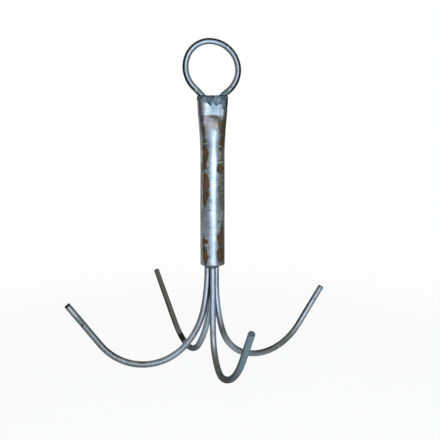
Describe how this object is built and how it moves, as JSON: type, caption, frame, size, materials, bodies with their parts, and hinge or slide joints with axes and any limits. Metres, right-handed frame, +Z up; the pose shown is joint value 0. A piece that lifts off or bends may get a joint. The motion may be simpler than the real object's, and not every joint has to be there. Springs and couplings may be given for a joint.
{
  "type": "reef anchor",
  "caption": "Grapnel-style reef anchor: tube shank with a squeezed, welded upper end, a round rod eye, and bendable rod prongs that curve out and up from the lower end.",
  "frame": {"origin": "on the tube's axis at the level of the ground, under the bends of the prongs that the anchor stands on", "axes": "+Z up along the tube's axis to the eye, X along the eye's plane, -Y the front"},
  "size_m": [0.3566, 0.3585, 0.4339],
  "materials": {
    "tube_steel": "bright galvanised steel tube with brown stains and fine scratches",
    "rod_steel": "semi-gloss blue-grey galvanised rod",
    "weld_metal": "rough, dull grey weld metal with burnt zinc"
  },
  "bodies": {
    "root": {"shank_tube": "tube_steel", "eye_ring": "rod_steel", "eye_weld": "weld_metal", "prong_weld": "weld_metal", "prong_right": "rod_steel", "prong_back": "rod_steel", "prong_left": "rod_steel", "prong_front": "rod_steel"}
  },
  "joints": []
}
